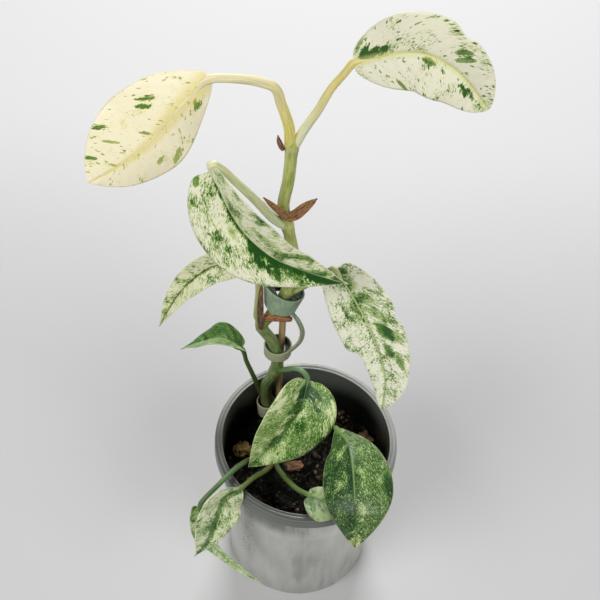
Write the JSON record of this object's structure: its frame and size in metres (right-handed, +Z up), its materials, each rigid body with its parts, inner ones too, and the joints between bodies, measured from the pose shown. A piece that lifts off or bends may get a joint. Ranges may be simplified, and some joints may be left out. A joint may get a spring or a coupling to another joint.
{
  "type": "potted variegated hanoman epipremnum",
  "caption": "Young climbing aroid with cream and green variegated leaves, tied to a short stake and growing in soil in a round translucent plastic nursery pot.",
  "frame": {"origin": "middle of the pot's flat base, on the surface that the pot stands on", "axes": "+Z up along the pot's axis; the plant's viewer stands on the -Y side, with +X to the viewer's right"},
  "size_m": [0.1771, 0.1353, 0.4404],
  "materials": {
    "pot_plastic": "satin",
    "potting_soil": "matte",
    "coir": "matte",
    "bark": "matte",
    "stake_wood": "matte",
    "stem": "satin",
    "shoot": "satin",
    "leaf_yellow_cream": "satin",
    "leaf_white_flecked": "satin",
    "leaf_half_white": "satin",
    "leaf_pale_marbled": "satin",
    "leaf_light_marbled": "satin",
    "leaf_dark": "satin",
    "leaf_green_marbled": "satin",
    "leaf_deep_marbled": "satin",
    "tie_tape": "matte",
    "foot_tape": "matte",
    "dried_sheath": "matte"
  },
  "bodies": {
    "root": {"pot": "pot_plastic", "soil": "potting_soil", "coir_lump": "coir", "bark_chip_front": "bark", "bark_chip_right": "bark", "stake": "stake_wood", "main_stem": "stem", "side_shoot": "shoot", "leaf_1_top_left": "leaf_yellow_cream", "leaf_2_top_right": "leaf_white_flecked", "leaf_3_large_front": "leaf_half_white", "leaf_4_right": "leaf_pale_marbled", "leaf_5_left": "leaf_light_marbled", "leaf_6_low_left": "leaf_dark", "leaf_7_over_soil": "leaf_green_marbled", "leaf_8_front_right": "leaf_deep_marbled", "leaf_9_young_front": "leaf_pale_marbled", "leaf_10_front_left": "leaf_light_marbled", "leaf_11_low_front_left": "leaf_deep_marbled", "plant_tie": "tie_tape", "foot_tie": "foot_tape", "dried_sheath_middle": "dried_sheath", "dried_sheath_top": "dried_sheath", "dried_sheath_cap": "dried_sheath", "dried_sheath_low": "dried_sheath"}
  },
  "joints": []
}
